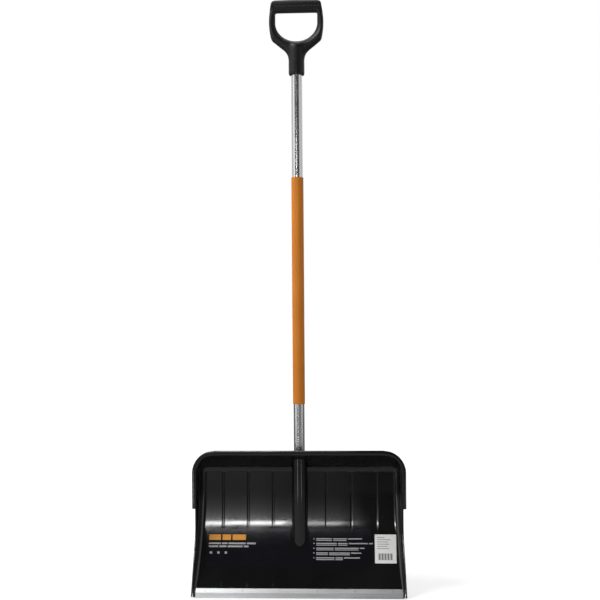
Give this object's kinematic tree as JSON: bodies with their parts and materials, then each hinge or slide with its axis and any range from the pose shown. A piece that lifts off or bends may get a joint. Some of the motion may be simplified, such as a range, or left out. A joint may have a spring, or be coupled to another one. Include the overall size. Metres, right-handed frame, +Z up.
{
  "type": "snow shovel",
  "caption": "Snow shovel with a black moulded scoop, aluminium cutting edge, aluminium shaft with an orange sleeve, and a D-shaped handle.",
  "frame": {"origin": "middle of the cutting edge's flat foot, where it meets the ground", "axes": "+X across the blade to its left-hand side as a user holds it, -Y to the front that carries snow, +Z up along the shaft"},
  "size_m": [0.5384, 0.1104, 1.5015],
  "materials": {
    "scoop_plastic": "glossy moulded polypropylene",
    "edge_aluminium": "mill finish, brushed along the blade",
    "rivet_aluminium": "plain",
    "tube_aluminium": "satin drawn tube",
    "sleeve_plastic": "satin shrunk-on sleeve",
    "plug_plastic": "plain",
    "screw_steel": "zinc plated",
    "handle_plastic": "fine spark-eroded texture, satin",
    "film": "printed film, blank apart from plain bars",
    "sticker": "coated paper, blank apart from plain bars"
  },
  "bodies": {
    "root": {"scoop_blade": "scoop_plastic", "cutting_edge": "edge_aluminium", "edge_rivets": "rivet_aluminium", "shaft_tube": "tube_aluminium", "shaft_sleeve": "sleeve_plastic", "lower_tube_plug": "plug_plastic", "upper_tube_plug": "plug_plastic", "socket_screws": "screw_steel", "d_handle": "handle_plastic", "handle_screw": "screw_steel", "film_label": "film", "sticker_label": "sticker"}
  },
  "joints": []
}
